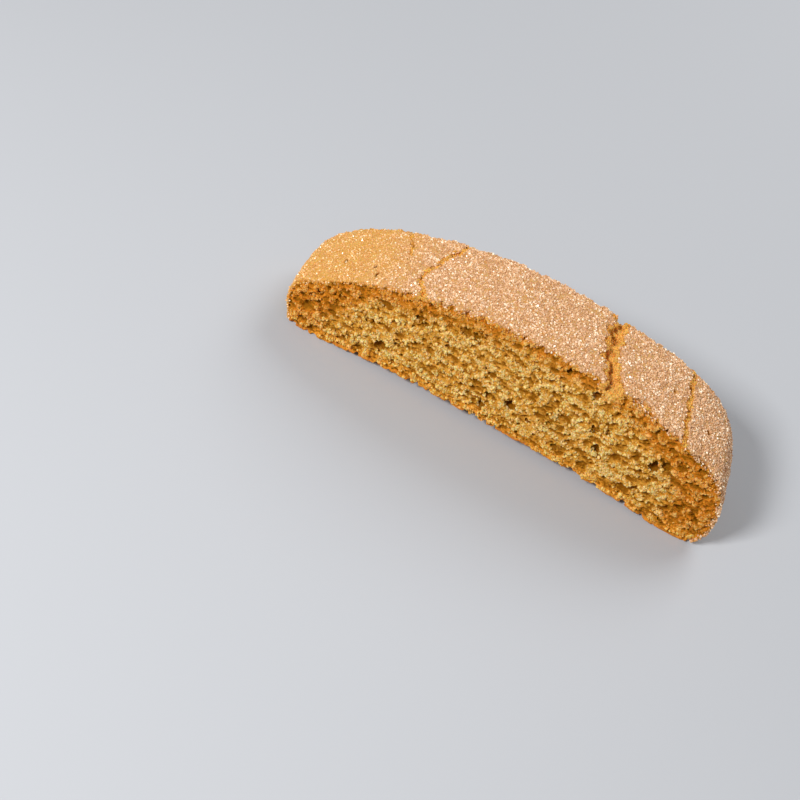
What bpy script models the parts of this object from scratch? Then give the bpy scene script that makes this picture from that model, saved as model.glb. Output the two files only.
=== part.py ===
"""A biscotto: one slice of a twice-baked biscuit log, standing on its baked base.

X runs along the slice, Y through its thickness with the front cut face at -Y, and Z up
from the base to the domed, cracked top crust. The origin is at the middle of the base.
Run with: blender --background --python part.py
"""

import math

import bmesh
import bpy
from mathutils import Matrix, Vector, noise
from mathutils.geometry import interpolate_bezier

MM = 0.001

# Driving dimensions
LENGTH = 120 * MM
THICKNESS = 26 * MM
HEIGHT = 33.8 * MM
BASE_ARCH = 2.6 * MM        # the base lifts this far off the tray between its two ends
FOOT_INNER = 49 * MM        # each end rests on the tray from here outwards
SLANT = -3.2 * MM           # the knife ran aslant, so the back face sits this far along X
BACK_SCALE = 0.973          # the back face is a little smaller than the front one
END_BULGE = 1.1 * MM        # the baked ends swell between the two cut faces
BACK_WEAR = 1.9 * MM        # the ends' back corners are crumbled off by this much
WEAR_START = 0.7            # share of the thickness where that wear begins
END_SHARE = 0.8             # share of the half length where an end begins
CROWN_ROUND = 0.5 * MM      # the top crust is this much higher midway between the cuts

# Cells of the body's lattice along X, Y and Z
CELLS_X, CELLS_Y, CELLS_Z = 60, 11, 12

# Unevenness of the baked crust and of the knife's cut
CRUST_SWELL, CRUST_SWELL_SIZE = 0.45 * MM, 11 * MM
CRUST_DIMPLE, CRUST_DIMPLE_SIZE = 0.22 * MM, 4.5 * MM
CUT_WAVE, CUT_WAVE_SIZE = 0.25 * MM, 7 * MM

# The four corners of the slice's outline, and the crown between the upper two
LEFT_TOE = Vector((-0.474 * LENGTH, 0.0))
LEFT_SHOULDER = Vector((-0.488 * LENGTH, 0.411 * HEIGHT))
CROWN = Vector((0.025 * LENGTH, HEIGHT))
RIGHT_SHOULDER = Vector((0.456 * LENGTH, 0.669 * HEIGHT))
RIGHT_TOE = Vector((0.464 * LENGTH, 0.0))
CURVE_STEPS = 200

# Pores wide enough to look into: along X, up Z, width, height and depth, all in mm
FRONT_PORES = (
    (-32.6, 8.6, 3.0, 4.2, 2.8),
    (3.3, 12.2, 3.6, 3.2, 2.6),
    (-13.3, 26.6, 3.2, 3.2, 1.5),
    (40.4, 17.6, 2.6, 4.2, 2.6),
    (21.0, 28.8, 2.8, 3.0, 2.2),
    (16.2, 16.7, 4.2, 2.8, 1.3),
    (-34.7, 22.0, 3.8, 2.4, 1.2),
    (36.9, 6.4, 4.6, 2.6, 1.2),
    (-2.6, 11.6, 2.0, 2.2, 1.6),
    (50.6, 9.6, 2.8, 1.6, 1.6),
    (-23.5, 22.3, 2.0, 1.6, 1.2),
)
BACK_PORES = (
    (-41.0, 13.5, 2.8, 2.6, 2.2),
    (-22.5, 20.4, 3.8, 2.8, 1.5),
    (-9.0, 9.2, 2.6, 3.0, 2.5),
    (7.4, 24.6, 3.2, 2.4, 1.6),
    (20.6, 11.8, 3.6, 2.6, 2.0),
    (33.8, 21.5, 2.4, 3.4, 2.2),
    (47.0, 9.4, 3.0, 2.2, 1.4),
)

# Cracks across the top crust: path points along X and Y with a half width there, all in mm
WIDE_CRACK = (
    (24.8, -15.5, 2.6), (23.6, -12.4, 2.2), (23.1, -10.2, 1.4), (21.3, -8.0, 1.2),
    (21.2, -5.6, 1.0), (19.3, -3.4, 1.4), (19.0, -1.2, 1.5), (17.9, 1.6, 1.15),
    (18.1, 4.2, 1.4), (16.5, 6.6, 1.5), (17.4, 9.4, 1.1), (16.9, 12.0, 1.35),
    (17.6, 16.0, 1.4),
)
NARROW_CRACK = (
    (-26.0, -15.5, 0.55), (-26.6, -11.7, 0.5), (-28.1, -9.1, 0.4), (-30.1, -6.6, 0.5),
    (-29.7, -3.6, 0.36), (-30.0, -1.6, 0.5), (-28.3, 0.6, 0.42), (-28.5, 3.0, 0.5),
    (-27.4, 5.4, 0.38), (-26.0, 7.8, 0.5), (-25.5, 10.4, 0.4), (-24.9, 16.0, 0.5),
)
END_CRACK = (
    (44.2, -15.5, 0.55), (43.1, -9.1, 0.45), (41.6, -6.4, 0.36), (41.9, -3.6, 0.46),
    (40.8, -1.0, 0.5), (40.4, 2.9, 0.38), (39.2, 6.0, 0.48), (39.0, 9.6, 0.36),
    (37.9, 16.0, 0.45),
)
LEFT_HAIRLINE = (
    (-40.6, 12.0, 0.25), (-39.8, 9.2, 0.34), (-37.6, 6.4, 0.26), (-37.2, 4.2, 0.32),
    (-36.2, 2.1, 0.2),
)
CRACKS = (
    ("wide_crack", WIDE_CRACK, 2.0 * MM),
    ("narrow_crack", NARROW_CRACK, 0.65 * MM),
    ("end_crack", END_CRACK, 0.55 * MM),
    ("left_hairline", LEFT_HAIRLINE, 0.4 * MM),
)
CUTTER_RISE = 4 * MM        # a cutter stands this far above the crust
FLOOR_WAVE, FLOOR_WAVE_SIZE = 0.3, 2.3 * MM
WELD = 0.01 * MM
PORE_KNOBBLE = 0.22         # how far a pore strays from a plain egg shape
SMOOTH_BELOW = math.radians(35)

CRUST_COLOUR = (0.74, 0.42, 0.19, 1.0)
CRUST_ROUGHNESS = 0.75


def bezier(start, pull_start, pull_end, end):
    """Points along one bezier curve in the slice's own plane, evenly spaced in its parameter."""
    flat = [Vector((p[0], p[1], 0)) for p in (start, pull_start, pull_end, end)]
    return [Vector((p.x, p.y)) for p in interpolate_bezier(*flat, CURVE_STEPS)]


def even_point(points, share):
    """The point at this share of a polyline's length."""
    lengths = [0.0]
    for a, b in zip(points, points[1:]):
        lengths.append(lengths[-1] + (b - a).length)
    wanted = share * lengths[-1]
    for i in range(1, len(points)):
        if lengths[i] >= wanted - 1e-12:
            span = lengths[i] - lengths[i - 1]
            return points[i - 1].lerp(points[i], (wanted - lengths[i - 1]) / span)
    return points[-1].copy()


def base_height(x):
    """How far the base stands off the tray: nothing at the feet, the full arch between."""
    inside = min(1.0, abs(x) / FOOT_INNER)
    return BASE_ARCH * (1 - inside ** 4) ** 1.5


def outline_curves():
    """The outline's four sides as polylines: top and base run along +X, ends run up."""
    top = bezier(
        LEFT_SHOULDER,
        (-0.392 * LENGTH, 0.710 * HEIGHT),
        (-0.183 * LENGTH, HEIGHT),
        CROWN,
    )
    top += bezier(
        CROWN,
        (0.225 * LENGTH, HEIGHT),
        (0.383 * LENGTH, 0.888 * HEIGHT),
        RIGHT_SHOULDER,
    )[1:]
    left_end = bezier(
        LEFT_TOE,
        (-0.505 * LENGTH, 0.030 * HEIGHT),
        (-0.508 * LENGTH, 0.300 * HEIGHT),
        LEFT_SHOULDER,
    )
    right_end = bezier(
        RIGHT_TOE,
        (0.512 * LENGTH, 0.040 * HEIGHT),
        (0.506 * LENGTH, 0.480 * HEIGHT),
        RIGHT_SHOULDER,
    )
    base = []
    for i in range(CURVE_STEPS + 1):
        x = LEFT_TOE.x + (RIGHT_TOE.x - LEFT_TOE.x) * i / CURVE_STEPS
        base.append(Vector((x, base_height(x))))
    return top, base, left_end, right_end


def blend_sides(along, up, sides):
    """The point inside the outline at these shares of its length and height."""
    top, base, left_end, right_end = sides
    ruled_up = even_point(base, along).lerp(even_point(top, along), up)
    ruled_along = even_point(left_end, up).lerp(even_point(right_end, up), along)
    corners = LEFT_TOE.lerp(RIGHT_TOE, along).lerp(
        LEFT_SHOULDER.lerp(RIGHT_SHOULDER, along), up
    )
    return ruled_up + ruled_along - corners


def through_thickness(flat, depth):
    """The point of the slice at a share of its thickness, from the front cut to the back one."""
    swell = 1 - (2 * depth - 1) ** 2
    scale = 1 + (BACK_SCALE - 1) * depth
    x = flat.x * scale + SLANT * depth
    z = flat.y * scale
    beyond = max(0.0, abs(flat.x) / (LENGTH / 2) - END_SHARE) / (1 - END_SHARE)
    worn = max(0.0, depth - WEAR_START) / (1 - WEAR_START)
    outwards = math.copysign(1, flat.x)
    x += outwards * beyond * (END_BULGE * swell - BACK_WEAR * worn ** 2)
    z += CROWN_ROUND * swell * (flat.y / HEIGHT) ** 2
    return Vector((x, THICKNESS * (depth - 0.5), z))


def crust_unevenness(point):
    """How far the baked crust swells or dips here."""
    swell = noise.noise(point / CRUST_SWELL_SIZE + Vector((3.1, 0.4, 7.7)))
    dimple = noise.noise(point / CRUST_DIMPLE_SIZE + Vector((9.2, 5.6, 1.3)))
    return CRUST_SWELL * swell + CRUST_DIMPLE * dimple


def make_lattice():
    """A cube two units wide whose faces are cut into the lattice's cells."""
    bm = bmesh.new()
    bmesh.ops.create_cube(bm, size=2)
    for axis, cells in enumerate((CELLS_X, CELLS_Y, CELLS_Z)):
        along_axis = [
            e for e in bm.edges if abs(e.verts[0].co[axis] - e.verts[1].co[axis]) > 1
        ]
        bmesh.ops.subdivide_edges(bm, edges=along_axis, cuts=cells - 1, use_grid_fill=True)
    return bm


def shape_body(bm):
    """Moves the lattice's points onto the slice, with an uneven crust and a wavy cut."""
    sides = outline_curves()
    flat_points = {}
    for v in bm.verts:
        along, depth, up = ((c + 1) / 2 for c in v.co)
        key = (round(along, 5), round(up, 5))
        if key not in flat_points:
            flat_points[key] = blend_sides(along, up, sides)
        point = through_thickness(flat_points[key], depth)
        on_cut = depth < 1e-4 or depth > 1 - 1e-4
        on_crust = along < 1e-4 or along > 1 - 1e-4 or up > 1 - 1e-4
        if on_crust:
            outwards = Vector((point.x * 0.35, 0, HEIGHT * up)).normalized()
            point += outwards * crust_unevenness(point) * up
        if on_cut and 0 < up:
            wave = noise.noise(Vector((point.x, 40 * point.y, point.z)) / CUT_WAVE_SIZE)
            point.y += CUT_WAVE * wave
        v.co = point


def top_height(sides, x, depth):
    """The height of the smooth top crust above a place on the slice."""
    scale = 1 + (BACK_SCALE - 1) * depth
    flat_x = (x - SLANT * depth) / scale
    top = sides[0]
    near = min(range(len(top) - 1), key=lambda i: abs((top[i].x + top[i + 1].x) / 2 - flat_x))
    return through_thickness(Vector((flat_x, top[near].y)), depth).z


def make_collection(name):
    made = bpy.data.collections.new(name)
    bpy.context.scene.collection.children.link(made)
    return made


def as_cutter(name, mesh, collection):
    """A closed mesh that is only there to cut another."""
    cutter = bpy.data.objects.new(name, mesh)
    cutter.hide_render = True
    cutter.display_type = "WIRE"
    collection.objects.link(cutter)
    return cutter


def channel_section():
    """The section of a crack: a narrow floor and walls that lean apart."""
    curve = bpy.data.curves.new("channel_section", "CURVE")
    curve.dimensions = "2D"
    spline = curve.splines.new("POLY")
    corners = ((-1.7, 1.0), (-0.6, -1.0), (0.6, -1.0), (1.7, 1.0))
    spline.points.add(len(corners) - 1)
    for point, (across, up) in zip(spline.points, corners):
        point.co = (across * MM, up * MM, 0, 1)
    spline.use_cyclic_u = True
    return bpy.data.objects.new("channel_section", curve)


def crack_cutter(name, path, depth, section, sides, collection):
    """A channel along a crack's path, from above the crust down to the crack's floor."""
    curve = bpy.data.curves.new(name, "CURVE")
    curve.dimensions = "3D"
    curve.twist_mode = "Z_UP"
    curve.bevel_mode = "OBJECT"
    curve.bevel_object = section
    curve.use_fill_caps = True
    spline = curve.splines.new("POLY")
    spline.points.add(len(path) - 1)
    for point, (x, y, half_width) in zip(spline.points, path):
        share = min(1.0, max(0.0, y * MM / THICKNESS + 0.5))
        point.co = (x * MM, y * MM, top_height(sides, x * MM, share), 1)
        point.radius = half_width
    swept = bpy.data.objects.new(name + "_sweep", curve)
    collection.objects.link(swept)
    bpy.context.view_layer.update()
    graph = bpy.context.evaluated_depsgraph_get()
    mesh = bpy.data.meshes.new_from_object(swept.evaluated_get(graph))
    bpy.data.objects.remove(swept)
    stretch_channel(mesh, depth, sides)
    return as_cutter(name, mesh, collection)


def stretch_channel(mesh, depth, sides):
    """Sets a swept channel's floor at its depth and its rim clear above the crust."""
    bm = bmesh.new()
    bm.from_mesh(mesh)
    bmesh.ops.remove_doubles(bm, verts=bm.verts, dist=WELD)
    for v in bm.verts:
        share = min(1.0, max(0.0, v.co.y / THICKNESS + 0.5))
        crust = top_height(sides, v.co.x, share)
        if v.co.z > crust:
            v.co.z = crust + CUTTER_RISE
        else:
            uneven = noise.noise(v.co / FLOOR_WAVE_SIZE)
            v.co.z = crust - depth * (1 + FLOOR_WAVE * uneven)
    bmesh.ops.triangulate(bm, faces=bm.faces)
    bmesh.ops.recalc_face_normals(bm, faces=bm.faces)
    bm.to_mesh(mesh)
    bm.free()


def pore_cutter(name, pore, face_y, collection):
    """A flattened bubble that opens onto a cut face."""
    x, z, width, height, depth = (value * MM for value in pore)
    bm = bmesh.new()
    bmesh.ops.create_icosphere(bm, subdivisions=2, radius=1)
    for v in bm.verts:
        knobbly = 1 + PORE_KNOBBLE * noise.noise(v.co * 1.7 + Vector((x, z, face_y)) * 900)
        reach = Vector((v.co.x * width / 2, v.co.y * depth, v.co.z * height / 2))
        v.co = Vector((x, face_y, z)) + reach * knobbly
    mesh = bpy.data.meshes.new(name)
    bm.to_mesh(mesh)
    bm.free()
    return as_cutter(name, mesh, collection)


def cut_with(body, collection, name):
    """Takes everything in a collection of cutters out of the body."""
    modifier = body.modifiers.new(name, "BOOLEAN")
    modifier.operation = "DIFFERENCE"
    modifier.operand_type = "COLLECTION"
    modifier.collection = collection
    modifier.solver = "EXACT"


def centre_on_base(meshes, body_mesh):
    """Moves every mesh so that the middle of the body's base is at the origin."""
    xs, ys, zs = zip(*(v.co for v in body_mesh.vertices))
    middle = Vector(((min(xs) + max(xs)) / 2, (min(ys) + max(ys)) / 2, min(zs)))
    for mesh in meshes:
        mesh.transform(Matrix.Translation(-middle))


def crust_material():
    material = bpy.data.materials.new("baked_biscuit")
    material.use_nodes = True
    shader = material.node_tree.nodes["Principled BSDF"]
    shader.inputs["Base Color"].default_value = CRUST_COLOUR
    shader.inputs["Roughness"].default_value = CRUST_ROUGHNESS
    shader.inputs["Metallic"].default_value = 0.0
    material.diffuse_color = CRUST_COLOUR
    return material


def main():
    for obj in list(bpy.data.objects):
        bpy.data.objects.remove(obj)
    parts = make_collection("biscotto_parts")
    cracks = make_collection("crack_cutters")
    pores = make_collection("pore_cutters")

    bm = make_lattice()
    shape_body(bm)
    bmesh.ops.triangulate(bm, faces=bm.faces)
    bmesh.ops.recalc_face_normals(bm, faces=bm.faces)
    mesh = bpy.data.meshes.new("biscotto")
    bm.to_mesh(mesh)
    bm.free()
    body = bpy.data.objects.new("biscotto", mesh)
    parts.objects.link(body)
    mesh.materials.append(crust_material())

    sides = outline_curves()
    section = channel_section()
    for name, path, depth in CRACKS:
        crack_cutter(name, path, depth, section, sides, cracks)
    bpy.data.objects.remove(section)
    for face_y, listed, side in (
        (-THICKNESS / 2, FRONT_PORES, "front"),
        (THICKNESS / 2, BACK_PORES, "back"),
    ):
        for i, pore in enumerate(listed):
            pore_cutter(f"{side}_pore_{i}", pore, face_y, pores)
    centre_on_base([obj.data for obj in bpy.data.objects], mesh)
    cut_with(body, cracks, "cracks")
    cut_with(body, pores, "pores")

    mesh.shade_smooth()
    mesh.set_sharp_from_angle(angle=SMOOTH_BELOW)


main()
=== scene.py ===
# %% [markdown]
# # A biscotto
# A biscotto is one slice of a flat log of dough that was baked, cut while warm and baked
# again. It has three kinds of surface: a domed top crust strewn with sugar, two cut faces
# of dry open crumb, and a brown base that lay on the tray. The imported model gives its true
# shape and its cracks. This script adds what a plain solid can't show: the pores, the
# clumped crumb, the ragged rim of the crust, the sugar and the colours of the bake.
#
# Everything is in metres, so MM turns a maker's millimetres into them. Vector noise starts
# from the clock unless it is given a seed, so it gets one, and every run bakes one slice.

# %% The frame
import math
import random
import time

import bmesh
import bpy
import numpy as np
from mathutils import Euler, Matrix, Vector, noise
from mathutils.bvhtree import BVHTree


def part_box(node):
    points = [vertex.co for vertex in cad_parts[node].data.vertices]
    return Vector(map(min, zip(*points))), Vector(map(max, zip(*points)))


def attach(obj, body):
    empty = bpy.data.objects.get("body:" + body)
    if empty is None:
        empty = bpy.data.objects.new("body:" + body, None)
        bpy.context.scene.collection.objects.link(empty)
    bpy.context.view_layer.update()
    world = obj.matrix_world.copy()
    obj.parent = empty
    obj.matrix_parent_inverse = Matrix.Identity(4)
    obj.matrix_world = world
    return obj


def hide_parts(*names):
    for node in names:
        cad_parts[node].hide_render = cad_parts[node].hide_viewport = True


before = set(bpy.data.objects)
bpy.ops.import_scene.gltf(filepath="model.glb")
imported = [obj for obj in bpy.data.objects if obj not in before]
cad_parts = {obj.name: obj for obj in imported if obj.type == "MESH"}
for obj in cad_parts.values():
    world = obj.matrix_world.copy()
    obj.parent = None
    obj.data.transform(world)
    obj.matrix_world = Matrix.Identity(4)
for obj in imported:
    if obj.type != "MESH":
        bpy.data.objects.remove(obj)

MM = 0.001
BODY = "root"
NODE = "biscotto"
NOISE_SEED = 7
noise.seed_set(NOISE_SEED)
started = time.time()
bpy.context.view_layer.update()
low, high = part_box(NODE)
half_thickness = (high.y - low.y) / 2


def clock():
    """How long the script has run so far."""
    return f"{time.time() - started:.1f} s"


print("slice in mm:", [round(side / MM, 1) for side in high - low])


# %% [markdown]
# ## Sorting the solid's faces
# Crust, cut and base are finished in different ways, so each point of the slice has to
# know how far it is from each of them. The solid carries no labels, but it is made of
# smooth sheets that meet at sharp edges. Flooding outwards from a face, and stopping at
# each sharp edge, finds a whole sheet. The big sheets are skin, told apart by the way they
# face, and the small ones are the walls and floors of cracks and pores.

# %% Sheets of the solid
WELD = 0.005 * MM
SHARP = math.radians(32)
SKIN_AREA = 150 * MM * MM
CUT_FACING = 0.8
BASE_FACING = -0.6
BASE_HIGHEST = 5 * MM


def merged_copy():
    """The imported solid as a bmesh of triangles, joined up where they meet."""
    bm = bmesh.new()
    bm.from_mesh(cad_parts[NODE].data)
    bmesh.ops.remove_doubles(bm, verts=bm.verts, dist=WELD)
    bm.faces.ensure_lookup_table()
    bmesh.ops.triangulate(bm, faces=bm.faces)
    return bm


def sheets(bm):
    """Groups of faces that join one another across edges that aren't sharp.

    A dict keeps the faces in order, as a set wouldn't, so every run gives the same slice.
    """
    left = dict.fromkeys(bm.faces)
    while left:
        found = [left.popitem()[0]]
        for face in found:
            for edge in face.edges:
                if edge.calc_face_angle(math.pi) < SHARP:
                    for other in edge.link_faces:
                        if other in left:
                            del left[other]
                            found.append(other)
        yield found


def kind_of(face):
    """Which skin a face belongs to, by the way it faces and how high it is."""
    if abs(face.normal.y) > CUT_FACING:
        return "cut"
    if face.normal.z < BASE_FACING and face.calc_center_median().z < BASE_HIGHEST:
        return "base"
    return "crust"


def sort_skin(bm):
    """Every face as crust, cut, base or broken."""
    sorted_faces = {"crust": [], "cut": [], "base": [], "broken": []}
    for sheet in sheets(bm):
        whole = sum(face.calc_area() for face in sheet) > SKIN_AREA
        for face in sheet:
            sorted_faces[kind_of(face) if whole else "broken"].append(face)
    return sorted_faces


solid = merged_copy()
skin = sort_skin(solid)
print("faces:", {kind: len(faces) for kind, faces in skin.items()})


# %% [markdown]
# ## Measuring from each kind of skin
# A BVH tree is a sorted heap of faces that answers one question fast: which point on them
# is nearest? One tree for each kind of skin turns "is this crust?" into a distance, and a
# distance can fade one finish into the next. Broken faces near the crust are cracks, and
# those further down are pores.

# %% Search trees
CRACK_DEEPEST = 2.4 * MM


def tree_of(faces):
    """A search tree that finds the nearest point on these faces."""
    corners = [v.co.copy() for face in faces for v in face.verts]
    triangles = [(3 * i, 3 * i + 1, 3 * i + 2) for i in range(len(faces))]
    return BVHTree.FromPolygons(corners, triangles)


def distance(kind, point):
    """How far a point is from the nearest face of this kind."""
    return trees[kind].find_nearest(point)[3]


def in_a_crack(face):
    return distance("crust", face.calc_center_median()) < CRACK_DEEPEST


trees = {kind: tree_of(skin[kind]) for kind in ("crust", "cut", "base")}
for kind, wanted in (("crack", True), ("pore", False)):
    trees[kind] = tree_of([face for face in skin["broken"] if in_a_crack(face) == wanted])
print("trees:", list(trees))


# %% [markdown]
# ## Copies of a small shape
# Pores, crystals and crumbs are all one small shape set down over and over. A template
# holds the shape at unit size, and each placing is a function that says where a point of it
# goes. That lets one copy be turned and stretched and another be made knobbly as well.

# %% Templates and placings
def finished_mesh(bm, name):
    """Turns a bmesh into a mesh and lets the bmesh go."""
    mesh = bpy.data.meshes.new(name)
    bm.to_mesh(mesh)
    bm.free()
    return mesh


def new_object(name, mesh):
    obj = bpy.data.objects.new(name, mesh)
    bpy.context.scene.collection.objects.link(obj)
    return obj


def strew(template, placings):
    """A bmesh with one copy of the template for each function that places a point."""
    bm = bmesh.new()
    rest = [v.co.copy() for v in template.vertices]
    for place in placings:
        for vertex, co in zip(template.vertices, rest):
            vertex.co = place(co)
        bm.from_mesh(template)
    for vertex, co in zip(template.vertices, rest):
        vertex.co = co
    return bm


# %% [markdown]
# ## Pores in the cut faces
# Gas in the dough leaves bubbles, and the knife opens those in its way. A bump map would
# only shade them, so they are cut for real: hundreds of knobbly eggs, a little wider than
# they are tall because the log spread as it baked, are taken out of both faces with one
# Boolean. The eggs keep clear of one another, so the cutter is a clean solid and the quick
# MANIFOLD solver can take it. First each face gets a list of spots and sizes. Setting down
# the widest first leaves room for all.

# %% Spots for the pores
PORES_PER_FACE = 170
PORE_SIZES = (0.30 * MM, 0.95 * MM)
MOSTLY_SMALL = 3.2
PORE_GAP = 0.15 * MM
PORE_REACH = 1.35
PORE_SEED = 11
TRIES = 30
OFF_THE_CUT = 0.9 * MM
SKIN_MARGIN = 0.5 * MM


def pore_sizes(rng):
    """Radii from the widest to the narrowest, most of them narrow."""
    spread = PORE_SIZES[1] - PORE_SIZES[0]
    return sorted((PORE_SIZES[0] + spread * rng.random() ** MOSTLY_SMALL
                   for _ in range(PORES_PER_FACE)), reverse=True)


def has_room(spot, size, chosen):
    """Whether a pore here stays clear of the crust, the base and the other pores."""
    if min(distance("crust", spot), distance("base", spot)) < size + SKIN_MARGIN:
        return False
    return all((spot - other).length > PORE_REACH * (size + wide) + PORE_GAP
               for other, wide in chosen)


def choose_pores(side, rng):
    """Picks pores on one cut face, the widest first, that don't touch each other."""
    chosen = []
    for size in pore_sizes(rng):
        for _ in range(TRIES):
            x, z = rng.uniform(low.x, high.x), rng.uniform(low.z, high.z)
            guess = Vector((x, side * half_thickness, z))
            spot, _, _, off = trees["cut"].find_nearest(guess)
            if off <= OFF_THE_CUT and has_room(spot, size, chosen):
                chosen.append((spot, size))
                break
    return chosen


# %% [markdown]
# ## Holes in the wide crack, and nicks in the crust
# The floor of the wide crack is torn dough, so a few bubbles lie open in it too. Near the
# left end the dry crust has three short nicks where it began to split. Both are eggs of the
# same cutter: round ones on the crack's floor, and slim ones that lie across the crust.

# %% Pore cutter
CRACK_HOLE_X = 19
CRACK_HOLES_Y = (-8.5, -5.0, -2.0, 2.5, 6.5)
CRACK_HOLE_SIZES = (0.45, 0.8)
NICKS = ((-41, -5), (-49, -3.6), (-39, -8))
NICK_RADII = (0.30 * MM, 0.85 * MM, 0.50 * MM)
KNOBBLES = 1.4


def random_salt(rng):
    """Where in the noise an egg's knobbles come from, so that no two are alike."""
    return Vector([rng.uniform(0, 50) for _ in range(3)])


def egg_placing(centre, radii, tilt, salt):
    """Places a unit egg's points: knobbly, stretched, tilted in the cut's plane, moved."""
    turn = Matrix.Rotation(tilt, 3, "Y")

    def place(co):
        knobbly = 1 + 0.5 * noise.noise(co * KNOBBLES + salt)
        reach = Vector((co.x * radii[0], co.y * radii[1], co.z * radii[2])) * knobbly
        return centre + turn @ reach

    return place


def cut_face_eggs(rng):
    for side in (-1, 1):
        for spot, size in choose_pores(side, rng):
            radii = (size * rng.uniform(1.0, 1.45), size * rng.uniform(1.0, 1.7),
                     size * rng.uniform(0.5, 0.95))
            salt = random_salt(rng)
            yield egg_placing(spot, radii, rng.uniform(-0.6, 0.6), salt)


def crack_eggs(rng):
    for y in CRACK_HOLES_Y:
        above = Vector((CRACK_HOLE_X + rng.uniform(-1, 1), y, high.z / MM)) * MM
        size = rng.uniform(*CRACK_HOLE_SIZES) * MM
        salt = random_salt(rng)
        spot = trees["crack"].find_nearest(above)[0]
        yield egg_placing(spot, (size, size * 1.3, size), 0.0, salt)


def nick_eggs():
    for x, y in NICKS:
        above = Vector((x, y, 50)) * MM
        spot = trees["crust"].ray_cast(above, Vector((0, 0, -1)))[0]
        yield egg_placing(spot, NICK_RADII, 0.0, Vector((x, y, 0)))


def pore_cutter():
    rng = random.Random(PORE_SEED)
    placings = [*cut_face_eggs(rng), *crack_eggs(rng), *nick_eggs()]
    egg = bmesh.new()
    bmesh.ops.create_icosphere(egg, subdivisions=2, radius=1)
    print("pores:", len(placings))
    return finished_mesh(strew(finished_mesh(egg, "egg"), placings), "pore_cutter")


# %% [markdown]
# ## The body as fine clay
# Crumb and crust need points every quarter of a millimetre to be sculpted, and the solid
# has them every two. A voxel remesh rebuilds the whole skin as an even net of small
# squares, fusing the pores' rims into the faces around them.

# %% Fine body
VOXEL = 0.25 * MM


def apply_modifiers(obj):
    """Makes the shape that the modifiers give the object's own mesh."""
    bpy.context.view_layer.update()
    graph = bpy.context.evaluated_depsgraph_get()
    mesh = bpy.data.meshes.new_from_object(obj.evaluated_get(graph))
    obj.modifiers.clear()
    obj.data = mesh


def fine_body():
    body = new_object("biscotto_body", finished_mesh(solid, "biscotto_body"))
    cutter = new_object("pores", pore_cutter())
    cut = body.modifiers.new("pores", "BOOLEAN")
    cut.operation, cut.object, cut.solver = "DIFFERENCE", cutter, "MANIFOLD"
    apply_modifiers(body)
    print("with pores:", len(body.data.polygons), "faces")
    bpy.data.objects.remove(cutter)
    net = body.modifiers.new("net", "REMESH")
    net.mode, net.voxel_size = "VOXEL", VOXEL
    apply_modifiers(body)
    return body


body = fine_body()
print("net:", len(body.data.vertices), "points,", clock())


# %% [markdown]
# ## Tools for sculpting
# Every change of finish is a smooth step from one value to another, which ramp gives. Foam
# is the form of dry crumb, a mass of small clumps and pits with creases between them.
# Voronoi noise has just that form, because its two nearest seeds are equally far along
# every crease. Each cell draws a number of its own that makes it a clump or a pit.

# %% Ramp and foam
CELL_MIDDLE = (0.62, 0.05)
CREASE_WIDTH = 0.25
CREASE_DEPTH = 0.25


def ramp(value, start, end):
    """0 at start, 1 at end, smooth between."""
    share = min(1.0, max(0.0, (value - start) / (end - start)))
    return share * share * (3 - 2 * share)


def foam(point, size):
    """The cut's height over one bubble or clump: each cell is a pit, a grain or between."""
    near, seeds = noise.voronoi(point / size)
    middle = ramp(near[0], *CELL_MIDDLE)
    lump = 1.7 * noise.cell(seeds[0] * 5.3 + Vector((0.5, 0.5, 0.5))) - 1.05
    return lump * middle - CREASE_DEPTH * ramp(near[1] - near[0], CREASE_WIDTH, 0.0)


# %% [markdown]
# ## The relief of the crumb
# Two sizes of foam and a little plain noise make the crumb. The point is pulled about by
# noise before the foam is asked, or its cells would be too regular. Clumps are wider than
# tall, as the log spread while it baked, and rougher towards the ends, which dried first.

# %% Relief
STRETCH = Vector((0.55, 1.0, 1.0))
BIG_CELL, SMALL_CELL = 1.55 * MM, 0.78 * MM
BIG_SHARE, SMALL_SHARE = 0.8, 0.7
ROUGH_ENDS_X = (34 * MM, 54 * MM)


def relief_at(point, broken):
    """How high the crumb stands here: above 0 on a clump, below 0 in a pit."""
    pulled = point * STRETCH + noise.noise_vector(point / (1.4 * MM)) * 0.55 * MM
    relief = BIG_SHARE * foam(pulled, BIG_CELL) + SMALL_SHARE * foam(pulled, SMALL_CELL)
    relief += 0.6 * noise.noise(point * STRETCH / (1.9 * MM)) + 0.35 * broken
    return relief * (1 + 0.35 * ramp(abs(point.x), *ROUGH_ENDS_X))


# %% [markdown]
# ## Where the skin is whole and where it is gone
# The crust is thin and brittle. It has chipped off along the cracks, it has flaked off in
# a strip of changing width along the rim of the cuts, and in two small spots near the right
# end its sugar has come off and left it bare. The crumb shows wherever neither crust nor
# base is left. All of it is soft steps over distances in mm, shaken by one noise, broken,
# so that no border runs straight.

# %% Skin
SKIN_EDGE = (0.5, 0.25)
WIDE_CRACK_X = (10 * MM, 30 * MM)
WIDE_REACH, LEFT_REACH, RIGHT_REACH = 1.5, 0.32, 0.62
FLAKING_STOPS_Z = (4 * MM, 2 * MM)
FLAKED_MOST_X, FLAKED_MOST = 32.5, 1.9
BARE_SPOTS = ((37.5, 0.3), (49, -2.3))
BARE_SPOT_SHAPE = {"narrow": 1.4, "size": 0.95}
NICK_SHAPE = {"narrow": 3.0, "size": 1.4}
SPOTS_LOWEST_Z = 8 * MM


def rim_width(point):
    """How far back from the cut, in mm, the crust has flaked off here."""
    side = math.copysign(7.0, point.y)
    along = Vector((point.x / (6 * MM), side, 0))
    flaked = 0.2 + 1.7 * max(0.0, noise.noise(along) + 0.15)
    if point.y > 0:
        return 0.5 * flaked
    return flaked + FLAKED_MOST * ramp(abs(point.x / MM - FLAKED_MOST_X), 6.5, 3.0)


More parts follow.
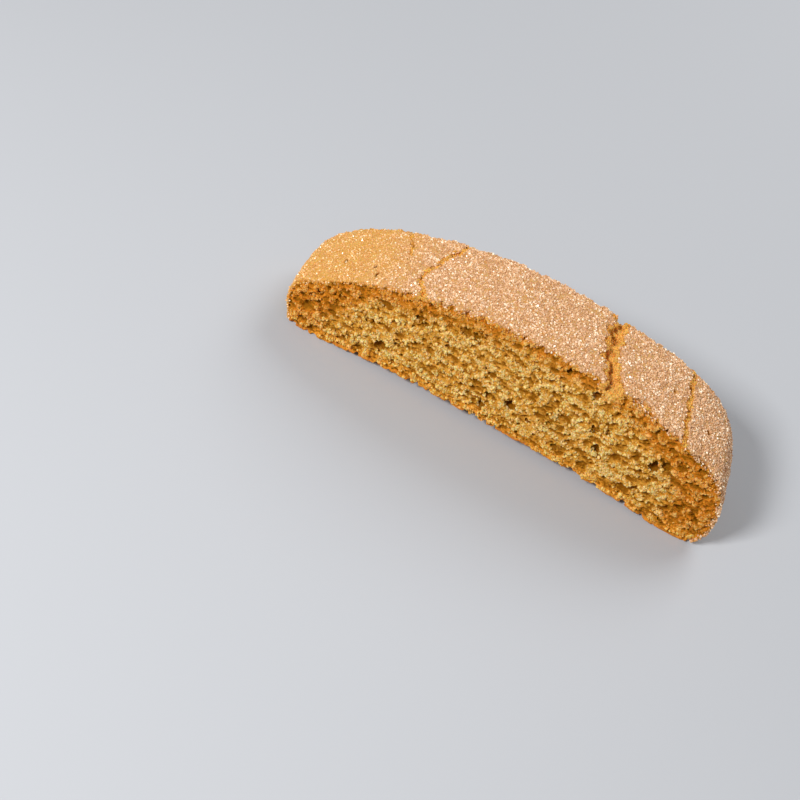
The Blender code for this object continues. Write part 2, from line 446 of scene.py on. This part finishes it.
def near_any(point, places, narrow, size):
    """1 in small spots of the crust at these places in mm, 0 elsewhere."""
    if point.z < SPOTS_LOWEST_Z:
        return 0.0
    nearest = min(math.hypot((point.x / MM - x) * narrow, point.y / MM - y) for x, y in places)
    return ramp(nearest, size, size / 2)


class Place:
    """What one point of the net needs to know about the place where it lies."""

    def __init__(self, point):
        self.off = {kind: distance(kind, point) / MM for kind in trees}
        self.broken = noise.noise(point / (1.3 * MM)) + 0.6 * noise.noise(point / (0.6 * MM))
        self.swell = noise.noise(point / (3.2 * MM))
        self.wide = WIDE_CRACK_X[0] < point.x < WIDE_CRACK_X[1]
        self.relief = relief_at(point, self.broken)
        self.find_skin(point)

    def find_skin(self, point):
        """How far crust, base and bare crumb show here, each from 0 to 1."""
        crust = ramp(self.off["crust"], *SKIN_EDGE)
        self.base = ramp(self.off["base"], *SKIN_EDGE) * (1 - crust)
        reach = WIDE_REACH if self.wide else LEFT_REACH if point.x < 0 else RIGHT_REACH
        self.chipped = crust * ramp(self.off["crack"] / reach + 0.6 * self.broken, 0.72, 0.45)
        flaked = ramp(self.off["cut"] + 0.85 * self.broken - rim_width(point), 0.25, 0.0)
        flaked *= 1 - ramp(point.z, *FLAKING_STOPS_Z)
        self.popped = near_any(point, BARE_SPOTS, **BARE_SPOT_SHAPE)
        nicked = 0.8 * near_any(point, NICKS, **NICK_SHAPE)
        self.skinless = max(self.chipped, crust * max(flaked, self.popped, nicked))
        self.crust = crust - self.skinless
        self.crumb = 1 - max(self.crust, self.base)
        near_crack = ramp(self.off["crack"], 0.9 if self.wide else 0.45, 0.15)
        self.in_crack = near_crack * (1 - self.crust)


# %% [markdown]
# ## Sculpting crumb, crust and base
# Each point of the net moves along its own normal. In the crumb that is the relief and a
# slow swell. Crust and base are tighter, so they get far less, and so do the walls of the
# big bubbles, which set smooth. Where the skin is gone, the surface steps in by the skin's
# thickness.

# %% Lift
CLUMP_HEIGHT, SWELL_HEIGHT, CRUMB_SUNK = 0.52, 0.25, 0.15
SKIN_THICKNESS = 0.35
PORE_WALL = (0.1, 0.5)


def lift(place, point):
    """How far out of the slice a point moves, in mm."""
    clumps = CLUMP_HEIGHT * place.relief * (1 - 0.4 * place.skinless)
    height = place.crumb * (clumps + SWELL_HEIGHT * place.swell - CRUMB_SUNK)
    height *= 0.6 + 0.4 * ramp(place.off["pore"], *PORE_WALL)
    height -= SKIN_THICKNESS * place.skinless
    height += place.crust * (0.16 * noise.noise(point / (1.6 * MM)) + 0.14 * place.broken)
    height += place.base * (0.16 * place.relief + 0.16 * noise.noise(point / (1.9 * MM)))
    return height


# %% [markdown]
# ## Torn cracks and crumbled rims
# A crack opened while the crust was already stiff, so its walls are torn: they sway to and
# fro across the slice, and the floors of the narrow ones sit just under the crust. Where
# the knife came through, the brittle rim of the crust broke away in chips, and crumb fell
# from under it and from the foot of the cut, where it meets the base. These pull points
# back into the slice. Last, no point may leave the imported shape's thickness or its floor.

# %% Cracks and rims
FARTHEST_OUT = half_thickness + 0.1 * MM
LOWEST = 0.02 * MM
TORN_WIDE, TORN_NARROW = 0.55, 0.4
NARROW_CRACK_RISE = 0.25
SWAY = 1.3
CHIP_FRONT, CHIP_BACK = 1.35, 0.6
RIM_REACH, FOOT_REACH = (1.9, 0.4), (1.7, 0.3)
WHOLE_LEFT_X = (26 * MM, 40 * MM)


def tear_crack(point, place):
    """Roughens and sways the walls of a crack."""
    torn = TORN_WIDE if place.wide else TORN_NARROW
    point.x += ramp(place.off["crack"], 1.6, 0.2) * place.broken * torn * MM
    if place.wide:
        sway = noise.noise(Vector((0, point.y, 3 * MM)) / (3.4 * MM))
        point.x += ramp(place.off["crack"], 2.6, 0.3) * sway * SWAY * MM
    else:
        point.z += NARROW_CRACK_RISE * place.in_crack * MM


def chip_depth(point, place, side):
    """How deep, in mm, the crust's rim is chipped and the crumb below it has fallen."""
    off, broken = place.off, place.broken
    notch = noise.noise(Vector((point.x, 0, 0)) / (2.1 * MM) + Vector((0, 9 * side, 0)))
    chip = ramp(notch + 0.5 * broken, -0.1, 0.55)
    under = ramp(off["crust"], 0.3, 0.8) * ramp(off["crust"], 3.2, 1.4)
    under *= ramp(off["cut"], 1.2, 0.3) * ramp(place.swell + 0.4 * broken, -0.5, 0.5)
    brittle = 1 - 0.65 * ramp(-point.x, *WHOLE_LEFT_X)
    chip *= (CHIP_FRONT if side < 0 else CHIP_BACK) * brittle
    under *= brittle
    rim = ramp(max(off["crust"], off["cut"]), *RIM_REACH)
    return rim * chip + under * 0.6


def crumble_rims(point, place):
    """Pulls the rims of crust and base back into the slice."""
    side = math.copysign(1, point.y)
    chipped = chip_depth(point, place, side)
    foot = ramp(max(place.off["base"], place.off["cut"]), *FOOT_REACH)
    crumbled = ramp(noise.noise(point / (1.5 * MM)) + 0.4 * place.broken, -0.15, 0.5)
    point.y -= side * (chipped + foot * crumbled * 0.9) * MM
    point.y = max(-FARTHEST_OUT, min(FARTHEST_OUT, point.y))
    point.z = max(point.z + foot * crumbled * 0.5 * MM, LOWEST)


# %% [markdown]
# ## Moving the points and marking them
# The moved points go back in one write, which is far quicker than one at a time. What each
# place turned out to be is kept as attributes, named numbers on the mesh's points, so that
# the material and the scattered pieces can ask for it.

# %% Sculpt
MARKS = ("crust", "base", "crack", "rind", "sole", "depth", "relief")


def marks_of(place):
    """What the material will want to know about a place."""
    deep = min(place.off["cut"], 0.6 + place.off["crack"])
    return {
        "crust": place.crust,
        "base": place.base,
        "crack": max(place.chipped, place.in_crack, place.popped),
        "rind": place.off["crust"],
        "sole": place.off["base"],
        "depth": place.crumb * deep * (1 - place.skinless),
        "relief": place.relief,
    }


def write_mark(mesh, name, values):
    mesh.attributes.new(name, "FLOAT", "POINT").data.foreach_set("value", values)


def sculpt(body):
    mesh = body.data
    moved = np.zeros((len(mesh.vertices), 3), np.float32)
    marks = {name: np.zeros(len(mesh.vertices), np.float32) for name in MARKS}
    for i, vertex in enumerate(mesh.vertices):
        point = vertex.co.copy()
        place = Place(point)
        point += vertex.normal * lift(place, point) * MM
        tear_crack(point, place)
        crumble_rims(point, place)
        moved[i] = point
        for name, value in marks_of(place).items():
            marks[name][i] = value
    mesh.vertices.foreach_set("co", moved.ravel())
    for name, values in marks.items():
        write_mark(mesh, name, values)


sculpt(body)
print("sculpted,", clock())


# %% [markdown]
# ## Fewer triangles where it is smooth
# The net is as fine on the plain base as in the crumb. Decimate folds up the edges that
# change the shape least, so the smooth places pay for the rough ones.

# %% Thin the net
MOST_TRIANGLES = 198000


def thin(obj, most):
    mesh = obj.data
    mesh.calc_loop_triangles()
    share = most / len(mesh.loop_triangles)
    if share < 1:
        fold = obj.modifiers.new("thin", "DECIMATE")
        fold.ratio = share
        apply_modifiers(obj)


thin(body, MOST_TRIANGLES)
body.data.shade_smooth()
print("thinned:", len(body.data.polygons), "faces,", clock())


# %% [markdown]
# ## Writing materials as sums
# A node tree is easier to read as a formula than as a drawing. Mark wraps one socket, and
# its operators add the Math nodes for us. Shades keeps one material's tree and adds every
# node in one method. A colour is three numbers, and a Math node would turn it grey, so
# colours go through Mix.

# %% Material helpers
class Mark:
    """One socket of a material's tree, which Python's operators can do sums with."""

    def __init__(self, shades, socket):
        self.shades, self.socket = shades, socket

    def sum(self, operation, *terms):
        settings = {"operation": operation}
        return self.shades.node("ShaderNodeMath", settings, dict(enumerate(terms)))

    def __add__(self, other):
        return self.sum("ADD", self, other)

    def __sub__(self, other):
        return self.sum("SUBTRACT", self, other)

    def __rsub__(self, other):
        return self.sum("SUBTRACT", other, self)

    def __mul__(self, other):
        return self.sum("MULTIPLY", self, other)

    def __truediv__(self, other):
        return self.sum("DIVIDE", self, other)

    def __pow__(self, other):
        return self.sum("POWER", self, other)

    def __abs__(self):
        return self.sum("ABSOLUTE", self)

    __radd__, __rmul__ = __add__, __mul__


class Shades:
    """A material and its node tree."""

    def __init__(self, name):
        self.material = bpy.data.materials.new(name)
        self.material.use_nodes = True
        self.tree = self.material.node_tree
        self.shader = self.tree.nodes["Principled BSDF"]
        self.spot = self.node("ShaderNodeTexCoord", output="Object")

    def node(self, kind, settings=None, inputs=None, output=0):
        """Adds a node, makes its settings, fills its sockets and returns one output."""
        made = self.tree.nodes.new(kind)
        for name, value in (settings or {}).items():
            setattr(made, name, value)
        for key, value in (inputs or {}).items():
            self.feed(made.inputs[key], value)
        return Mark(self, made.outputs[output])

    def feed(self, socket, value):
        """Links a mark to a socket, or sets a plain value on it."""
        if isinstance(value, Mark):
            self.tree.links.new(value.socket, socket)
        else:
            socket.default_value = value

    def finish(self, **sockets):
        """Feeds the shader's own sockets, named with _ for a space."""
        for name, value in sockets.items():
            self.feed(self.shader.inputs[name.replace("_", " ")], value)
        return self.material

    def mix(self, share, first, second):
        """A colour between two others."""
        settings = {"data_type": "RGBA", "blend_type": "MIX", "clamp_factor": True}
        return self.node("ShaderNodeMix", settings, {0: share, 6: first, 7: second}, 2)

    def ramp(self, value, start, end):
        """The value from start to end, spread smoothly over 0 to 1."""
        settings = {"interpolation_type": "SMOOTHSTEP"}
        return self.node("ShaderNodeMapRange", settings, {0: value, 1: start, 2: end})

    def mark(self, name):
        """One of the marks that was written on the mesh."""
        return self.node("ShaderNodeAttribute", {"attribute_name": name}, output="Fac")

    def grain(self, size, detail=2.0, rough=0.5):
        """Cloudy noise with clouds about this wide, around 0.5."""
        return self.node("ShaderNodeTexNoise", {}, {
            "Vector": self.spot, "Scale": 1 / size, "Detail": detail, "Roughness": rough})

    def along(self):
        """How far along the slice a point is, in mm."""
        return self.node("ShaderNodeSeparateXYZ", inputs={0: self.spot}) / MM


def shade(red, green, blue):
    """A colour as a baker would match it on a screen, made linear for the shader."""
    def linear(level):
        level /= 255
        return level / 12.92 if level <= 0.04045 else ((level + 0.055) / 1.055) ** 2.4

    return (linear(red), linear(green), linear(blue), 1.0)


# %% [markdown]
# ## The colours of the bake
# One loaf, one material: the marks on the mesh say where each look belongs. These are the
# tones that the looks mix.

# %% Bake colours
CRUMB_PALE = shade(255, 216, 144)
CRUMB_MID = shade(212, 150, 54)
# CRUMB_DEEP_SHADE goes into the deepest pits and creases: the crumb's own saturated brown
# there, darkened further as painted shade.
CRUMB_DEEP_SHADE = shade(138, 84, 2)
RIND_PALE = shade(236, 168, 82)
RIND_BROWN = shade(204, 120, 22)
SOLE_PALE = shade(255, 208, 120)
SOLE_GOLD = shade(228, 148, 42)
CRACK_GOLD = shade(255, 184, 92)
# CRACK_DEEP_SHADE darkens the hollows of the torn crack floors: painted shade over their own
# deeper gold.
CRACK_DEEP_SHADE = shade(194, 110, 26)
CRUST_TAN = shade(198, 150, 98)
CRUST_GOLD = shade(216, 162, 80)
CRUST_PATCH = shade(194, 130, 50)
CRUST_BROWN = shade(208, 140, 66)
CRUST_SUGARED = shade(246, 196, 134)
BASE_BROWN = shade(176, 106, 48)
LEFT_END_X = (-48.0, -24.0)


def left_end(s, cloudy):
    """1 at the left end, which baked golden, 0 from the middle on."""
    return 1 - s.ramp(s.along() + (cloudy - 0.5) * 22, *LEFT_END_X)


# %% [markdown]
# ## Crumb
# The crumb is khaki in the middle and browner towards the ends and under the crust, and
# golden just above the base. Within each of those it is darker in its pores and creases,
# which is painted shade over the crumb's own deeper colour there, and paler on its clumps,
# which is a painted highlight. One sum gives both: depth and relief from the sculpting, and
# two fine noises for tone that differs at random. The torn floors of the cracks are golden,
# because sugar melted there, and darker in their hollows, which is painted shade.

# %% Crumb colour
def crumb_colour(s, cloudy, fine, sandy):
    # Painted shade and painted highlight: this sum is higher, so the crumb darker, where it
    # lies deep or in a crease, and lower, so paler, on raised clumps. The two noises and the
    # grains' shine mark add tone that differs at random.
    hollow_shade_and_tone = s.mark("depth") * 0.5 - s.mark("relief") * 0.8 + (fine - 0.5) * 2.6
    hollow_shade_and_tone = hollow_shade_and_tone + (sandy - 0.5) * 1.4 - s.mark("shine") * 0.5
    ends = s.ramp(abs(s.along()), 27.0, 60.0)
    under = s.mark("rind") + (cloudy - 0.5) * 9 + (fine - 0.5) * 5
    browned = (1 - s.ramp(under - ends * 9, 0.4, 8.0)) ** 1.1
    golden = 1 - s.ramp(s.mark("sole") + (cloudy - 0.5) * 4 + (fine - 0.5) * 4, 1.4, 5.2)
    pale = s.mix(browned * 0.85, CRUMB_PALE, RIND_PALE)
    pale = s.mix(golden * 0.8, pale, SOLE_PALE)
    middle = s.mix(browned * 0.9, CRUMB_MID, RIND_BROWN)
    middle = s.mix(golden * 0.8, middle, SOLE_GOLD)
    crumb = s.mix(s.ramp(hollow_shade_and_tone, -0.75, 0.15), pale, middle)
    crumb = s.mix(s.ramp(hollow_shade_and_tone, 0.0, 1.1), crumb, CRUMB_DEEP_SHADE)
    # The torn floors get the same painted shade in their hollows and painted highlight on
    # their ridges.
    torn = s.mix(s.ramp(hollow_shade_and_tone, -0.7, 0.9), CRACK_GOLD, CRACK_DEEP_SHADE)
    return s.mix(s.mark("crack") * 0.75, crumb, torn)


# %% [markdown]
# ## Crust and base
# Under its sugar the crust is a pinkish tan, and golden with darker patches at the left
# end, where less sugar lies. The base is brown with golden flecks. Baked dough is dull, and
# a little light goes in and comes out warmer, which is what subsurface scattering does: it
# is what keeps the crumb from looking like stone. The finest grain is a bump, since it is
# smaller than the net can hold.

# %% Bake material
BUMP_SIZE, BUMP_DEPTH = 0.55 * MM, 0.28 * MM
LIGHT_REACH = 0.7 * MM


def crust_colour(s, cloudy, fine, sandy):
    left = left_end(s, cloudy)
    skin = s.mix(left * 0.8, CRUST_TAN, CRUST_GOLD)
    patchy = s.ramp(s.grain(2.6 * MM, 3.0, 0.6), 0.4, 0.62) * left
    skin = s.mix(patchy * 0.5, skin, CRUST_PATCH)
    skin = s.mix(s.ramp(fine, 0.45, 0.7) * 0.6, skin, CRUST_BROWN)
    return s.mix(s.ramp(sandy, 0.5, 0.75) * 0.6, skin, CRUST_SUGARED)


def biscuit_material():
    s = Shades("baked_biscuit")
    cloudy = s.grain(9 * MM, 3.0, 0.6)
    fine = s.grain(1.1 * MM, 4.0, 0.7)
    sandy = s.grain(0.42 * MM, 2.0, 0.6)
    crust = s.mark("crust")
    colour = s.mix(crust, crumb_colour(s, cloudy, fine, sandy),
                   crust_colour(s, cloudy, fine, sandy))
    sole = s.mix(s.ramp(fine, 0.35, 0.7), BASE_BROWN, SOLE_GOLD)
    height = s.grain(BUMP_SIZE, 4.0, 0.75) * (1 - crust * 0.2)
    bump = s.node("ShaderNodeBump", {}, {
        "Strength": 1.0, "Distance": BUMP_DEPTH, "Height": height})
    return s.finish(
        Base_Color=s.mix(s.mark("base"), colour, sole),
        Roughness=0.62 + (sandy - 0.5) * 0.5,
        Normal=bump,
        Specular_IOR_Level=0.08,
        Subsurface_Weight=0.5,
        Subsurface_Radius=(1.0, 0.5, 0.14),
        Subsurface_Scale=LIGHT_REACH,
    )


body.data.materials.clear()
body.data.materials.append(biscuit_material())
print("bake nodes:", len(body.data.materials[0].node_tree.nodes))


# %% [markdown]
# ## Strewing small shapes over the slice
# Sugar and crumbs are strewn the same way. Each face of the body gets a share of the pieces
# by its area times a weight, and each piece gets a random spot in its face. It sits with
# its own up along the face's normal, turned at random, tipped a little and partly sunk.
# None lie close to the floor, so the slice still stands on its base.

# %% Strewing
LOWEST_STREWN = 1.0 * MM


def random_spots(mesh, weigh, most, rng):
    """Points strewn over a mesh by area times a weight, with the normal and face at each.

    Each point lies in the triangle of its face's first three corners.
    """
    weights = np.array([face.area * weigh(face) for face in mesh.polygons])
    wanted = weights * most / weights.sum()
    spots = []
    for face in mesh.polygons:
        for _ in range(int(wanted[face.index] + rng.random())):
            a, b, c = (mesh.vertices[i].co for i in face.vertices[:3])
            u, v = rng.random(), rng.random()
            if u + v > 1:
                u, v = 1 - u, 1 - v
            spots.append((a + (b - a) * u + (c - a) * v, face.normal.copy(), face.index))
    return spots[:most]


def sitting(spot, normal, scale, sink, tip, rng):
    """Places a unit shape's points on a surface: turned, tipped and partly sunk."""
    upright = normal.to_track_quat("Z", "Y").to_matrix().to_4x4()
    angles = (rng.gauss(0, tip), rng.gauss(0, tip), rng.uniform(0, math.tau))
    turn = Euler(angles).to_matrix().to_4x4()
    place = Matrix.Translation(spot + normal * scale[2] * (0.5 - sink))
    matrix = place @ upright @ turn @ Matrix.Diagonal(Vector((*scale, 1.0)))
    return lambda co: matrix @ co


def strewn_piece(name, template, placings, marks, material):
    """One piece of many copies. Each copy has a value of its own for each mark."""
    mesh = finished_mesh(strew(template, placings), name)
    for mark, values in marks.items():
        values = np.asarray(values, np.float32)
        write_mark(mesh, mark, np.repeat(values, len(template.vertices)))
    mesh.materials.append(material)
    return new_object(name, mesh)


def nudged_cube(name, size, nudge, scatter):
    """A cube with each corner nudged its own way by noise."""
    bm = bmesh.new()
    bmesh.ops.create_cube(bm, size=size)
    for vertex in bm.verts:
        vertex.co += nudge * noise.noise_vector(vertex.co * scatter)
    return finished_mesh(bm, name)


def read_mark(mesh, name):
    values = np.zeros(len(mesh.vertices), np.float32)
    mesh.attributes[name].data.foreach_get("value", values)
    return values


def mean_over(face, values):
    return sum(values[i] for i in face.vertices) / len(face.vertices)


# %% [markdown]
# ## Sugar on the crust
# The log was rolled in granulated sugar before it was baked. Each crystal is a small
# block, so a cube with its corners nudged is all the shape it needs, and thousands of them
# stay light. They lie thickly on the dome, thinly low down and towards the left end, and in
# patches everywhere. None lie in the cracks, and a few cling to the flaked rim.

# %% Sugar
SUGAR_SEED = 5
SUGAR_MOST = 16400
SUGAR_SIZES = (0.24 * MM, 0.50 * MM)
SUGAR_SUNK, SUGAR_TIP = 0.38, 0.5
FACING_DOWN = -0.3
WHOLE_CRUST = 0.7
SUGAR_ON_RIM = 0.35


def sugar_weight(body):
    crust, rind, crack = (read_mark(body.data, name) for name in ("crust", "rind", "crack"))

    def weigh(face):
        middle = face.center
        if middle.z < LOWEST_STREWN or face.normal.z < FACING_DOWN:
            return 0.0
        if mean_over(face, crust) < WHOLE_CRUST:
            cracked = max(crack[i] for i in face.vertices)
            return SUGAR_ON_RIM * ramp(mean_over(face, rind), 1.5, 0.2) * (1 - cracked)
        sparse = 1 - 0.5 * ramp(middle.x / MM, -28, -46)
        patch = 0.75 + 0.4 * noise.noise(middle / (5 * MM))
        patch += 0.8 * noise.noise(middle / (1.7 * MM))
        low_down = ramp(middle.z / MM, 4, 14)
        return sparse * max(0.1, patch) * (0.5 + 0.5 * low_down)

    return weigh


def make_sugar(body, material):
    rng = random.Random(SUGAR_SEED)
    placings, shine = [], []
    for spot, normal, _ in random_spots(body.data, sugar_weight(body), SUGAR_MOST, rng):
        side = rng.uniform(*SUGAR_SIZES) * (1 - 0.15 * ramp(-spot.x, 28 * MM, 44 * MM))
        scale = (side, side * rng.uniform(0.7, 1.0), side * rng.uniform(0.55, 0.9))
        placings.append(sitting(spot, normal, scale, SUGAR_SUNK, SUGAR_TIP, rng))
        shine.append(rng.random())
    crystal = nudged_cube("crystal", 1, 0.09, 3.3)
    return strewn_piece("sugar", crystal, placings, {"shine": shine}, material)


# %% [markdown]
# ## The look of the sugar
# A clear crystal takes the colour of the crust below it, and only some catch the light.
# Glass would be slow and noisy at this size, so each crystal is opaque with a tone of its
# own, by its mark shine: most are tan like the crust, golden at the left end, and the
# brightest few are nearly white and smooth enough to glint.

# %% Sugar material
SUGAR_TAN = (shade(196, 144, 98), shade(244, 202, 156))
SUGAR_GOLD = (shade(212, 152, 76), shade(246, 194, 114))
GLINT, GLINT_GOLD = shade(255, 238, 210), shade(255, 222, 160)


def sugar_material():
    s = Shades("sugar_crystals")
    cloudy = s.grain(6 * MM)
    shine = s.mark("shine")
    left = left_end(s, cloudy)
    tone = s.mix(left * 0.8, s.mix(shine, *SUGAR_TAN), s.mix(shine, *SUGAR_GOLD))
    glint = s.mix(left * 0.6, GLINT, GLINT_GOLD)
    return s.finish(
        Base_Color=s.mix(s.ramp(shine + (cloudy - 0.5) * 0.2, 0.78, 1.0), tone, glint),
        Roughness=0.45 - shine * 0.3,
        Specular_IOR_Level=0.5,
    )


sugar = make_sugar(body, sugar_material())
print("crystals:", len(sugar.data.polygons) // 6, clock())


# %% [markdown]
# ## Grains and flakes of crumb
# The knife tears dry crumb into grains and thin flakes that still cling to the cut. They
# catch the light and make the faces look short and sandy. A grain is a cube with its
# corners pushed about, and a flake is a small knobbly pebble pressed flat. Both take the
# bake's own material, so each copies the marks of the spot where it lies. They cling to
# clumps and cracks, not to skin or the depths of a pore, and where the cut stands furthest
# out there are none, so that the slice keeps its true thickness.

# %% Grains and flakes
GRAIN_SEED, FLAKE_SEED = 23, 37
GRAIN_MOST, FLAKE_MOST = 10000, 9800
GRAIN_SIZES = (0.22 * MM, 0.50 * MM)
FLAKE_SIZES = (0.50 * MM, 1.15 * MM)
GRAIN_FLATNESS, FLAKE_FLATNESS = (0.7, 1.0), (0.4, 0.7)
GRAIN_SUNK, FLAKE_SUNK = 0.25, 0.45
CRUMB_TIP = 0.6
MOST_SKIN, DEEPEST = 0.6, 0.95
RAISED = (-2.1, 0.9)
OUTERMOST = half_thickness - 0.2 * MM
BAKE_MARKS = ("crack", "rind", "sole")


def flake_template():
    bm = bmesh.new()
    bmesh.ops.create_icosphere(bm, subdivisions=1, radius=0.5)
    for vertex in bm.verts:
        vertex.co *= 1 + 0.5 * noise.noise(vertex.co * 4.1)
    return finished_mesh(bm, "flake")


def crumb_weight(body):
    names = ("crust", "base", "depth", "relief", "crack")
    crust, base, depth, relief, crack = (read_mark(body.data, name) for name in names)

    def weigh(face):
        if face.center.z < LOWEST_STREWN or abs(face.center.y) > OUTERMOST:
            return 0.0
        skin = max(max(crust[i], base[i]) for i in face.vertices)
        deep = max(depth[i] for i in face.vertices)
        if skin > MOST_SKIN or deep > DEEPEST:
            return 0.0
        raised = sum(relief[i] for i in face.vertices)
        cracked = max(crack[i] for i in face.vertices)
        return ramp(raised, *RAISED) + cracked

    return weigh


def crumbs_on(body, name, template, most, sizes, seed, flatness, sunk):
    """One piece that strews copies of a crumb's shape over the cut faces."""
    rng = random.Random(seed)
    spots = random_spots(body.data, crumb_weight(body), most, rng)
    placings, shine = [], []
    for spot, normal, _ in spots:
        side = sizes[0] + (sizes[1] - sizes[0]) * rng.random() ** 1.5
        scale = (side * rng.uniform(0.9, 1.4), side, side * rng.uniform(*flatness))
        placings.append(sitting(spot, normal, scale, sunk, CRUMB_TIP, rng))
        shine.append(rng.random())
    corners = np.array([body.data.polygons[face].vertices[:3] for _, _, face in spots])
    marks = {mark: read_mark(body.data, mark)[corners].mean(1) for mark in BAKE_MARKS}
    marks["shine"] = shine
    return strewn_piece(name, template, placings, marks, body.data.materials[0])


grains = crumbs_on(body, "crumb_grains", nudged_cube("grain", 0.9, 0.3, 3.7), GRAIN_MOST,
                   GRAIN_SIZES, GRAIN_SEED, GRAIN_FLATNESS, GRAIN_SUNK)
flakes = crumbs_on(body, "crumb_flakes", flake_template(), FLAKE_MOST,
                   FLAKE_SIZES, FLAKE_SEED, FLAKE_FLATNESS, FLAKE_SUNK)
print("grains:", len(grains.data.polygons) // 6)
print("flakes:", len(flakes.data.polygons) // 20, clock())


# %% [markdown]
# ## Riding on the frame
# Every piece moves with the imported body, and the fine body stands in for the plain solid.

# %% Ride
for piece in (body, sugar, grains, flakes):
    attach(piece, BODY)
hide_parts(NODE)
print("pieces:", [piece.name for piece in (body, sugar, grains, flakes)])


# %% [markdown]
# ## Floor and light
# A pale floor and two square lamps show the slice plainly. The key lamp is small and stands
# in front on the left, so its light rakes the cut face and every clump casts a short
# shadow. The back lamp is broad and stands behind on the right, where it lights the dome
# and makes the sugar glint. A dim even sky fills the rest.

# %% Stage
FLOOR_SIZE = 3
FLOOR_TONES = (shade(181, 183, 187), shade(185, 187, 191))
SKY_COLOUR, SKY_STRENGTH = (0.97, 0.98, 1.0, 1.0), 0.27


def seen_from(azimuth, elevation):
    """A unit vector from the slice outwards, for angles in degrees. Azimuth 0 is in front."""
    turn, rise = math.radians(azimuth), math.radians(elevation)
    return Vector((math.sin(turn) * math.cos(rise), -math.cos(turn) * math.cos(rise),
                   math.sin(rise)))


def make_floor():
    bm = bmesh.new()
    bmesh.ops.create_grid(bm, x_segments=1, y_segments=1, size=FLOOR_SIZE)
    floor = new_object("floor", finished_mesh(bm, "floor"))
    s = Shades("floor")
    floor.data.materials.append(s.finish(
        Base_Color=s.mix(s.grain(1 / 3), *FLOOR_TONES),
        Roughness=0.9,
    ))


def make_lamp(name, azimuth, elevation, away, size, power):
    """A square lamp that looks at the slice from an azimuth and elevation in degrees."""
    outwards = seen_from(azimuth, elevation)
    light = bpy.data.lights.new(name, "AREA")
    light.size, light.energy = size, power
    lamp = new_object(name, light)
    lamp.location = outwards * away
    lamp.rotation_euler = outwards.to_track_quat("Z", "Y").to_euler()


make_floor()
make_lamp("key_lamp", -32, 40, away=0.8, size=0.18, power=6.4)
make_lamp("back_lamp", 160, 45, away=0.8, size=0.5, power=3.4)

world = bpy.data.worlds.new("studio")
world.use_nodes = True
sky = world.node_tree.nodes["Background"]
sky.inputs["Color"].default_value = SKY_COLOUR
sky.inputs["Strength"].default_value = SKY_STRENGTH
bpy.context.scene.world = world
bpy.context.scene.view_settings.view_transform = "Standard"
print("lamps:", len(bpy.data.lights))


# %% [markdown]
# ## Camera
# The camera looks down on the front of the slice from a little to the right. It is rolled,
# so that the slice slopes across the view. It is built as a matrix: a look along the view
# with up level, then the roll about its own line of sight, then the move back from the spot
# that it aims at.

# %% Camera
VIEW_AZIMUTH, VIEW_ELEVATION, VIEW_ROLL = 13.02, 46.0, 19.85
VIEW_DISTANCE = 329.1 * MM
AIM = Vector((-21.8, -13.0, -4.9)) * MM
LENS, SENSOR = 57.66, 36
NEAREST, FARTHEST = 0.01, 20


def make_camera():
    back = seen_from(VIEW_AZIMUTH, VIEW_ELEVATION)
    data = bpy.data.cameras.new("camera")
    data.lens, data.sensor_width = LENS, SENSOR
    data.clip_start, data.clip_end = NEAREST, FARTHEST
    camera = new_object("camera", data)
    level = (-back).to_track_quat("-Z", "Y").to_matrix().to_4x4()
    roll = Matrix.Rotation(math.radians(VIEW_ROLL), 4, "Z")
    camera.matrix_world = Matrix.Translation(AIM + back * VIEW_DISTANCE) @ level @ roll
    bpy.context.scene.camera = camera
    print("camera in mm:", [round(side / MM) for side in camera.matrix_world.translation])


make_camera()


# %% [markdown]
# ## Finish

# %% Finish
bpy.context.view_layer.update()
print("done,", clock())
